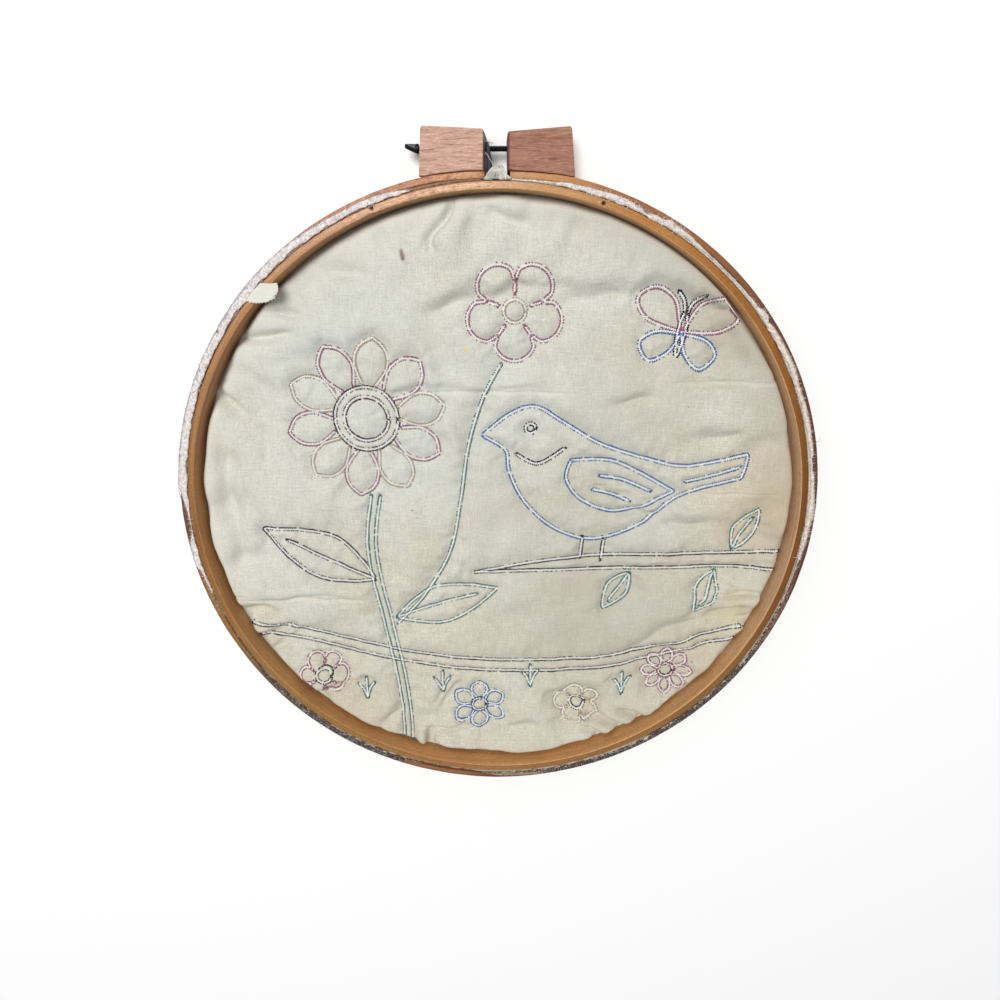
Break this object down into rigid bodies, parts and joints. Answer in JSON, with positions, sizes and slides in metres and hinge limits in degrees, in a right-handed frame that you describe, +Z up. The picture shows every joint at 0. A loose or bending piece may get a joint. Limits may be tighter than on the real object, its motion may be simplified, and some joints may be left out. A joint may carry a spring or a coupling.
{
  "type": "quilted applique in embroidery hoop",
  "caption": "Round quilted applique held in a wooden embroidery hoop, back of the work up, its raw edge showing between the rings and its blocks joined by a thumbscrew.",
  "frame": {"origin": "centre of the whole outline in plan, on the surface that the outer hoop lies on", "axes": "+Z up out of the back of the quilt, +Y from the hoop's middle toward its blocks and screw, +X to the right as the back is seen with the blocks at the top"},
  "size_m": [0.305, 0.3202, 0.0153],
  "materials": {
    "calico": "unbleached calico with fine weave, satin stitched from the front",
    "inner_wood": "honey varnished bentwood, satin",
    "outer_wood": "brown varnished bentwood, worn",
    "block_wood": "pinkish hardwood, open grain, matt",
    "black_steel": "blackened steel, semi-gloss"
  },
  "bodies": {
    "root": {"quilt": "calico", "inner_hoop": "inner_wood", "outer_hoop": "outer_wood", "block_left": "block_wood", "block_right": "block_wood", "thumbscrew": "black_steel"}
  },
  "joints": []
}
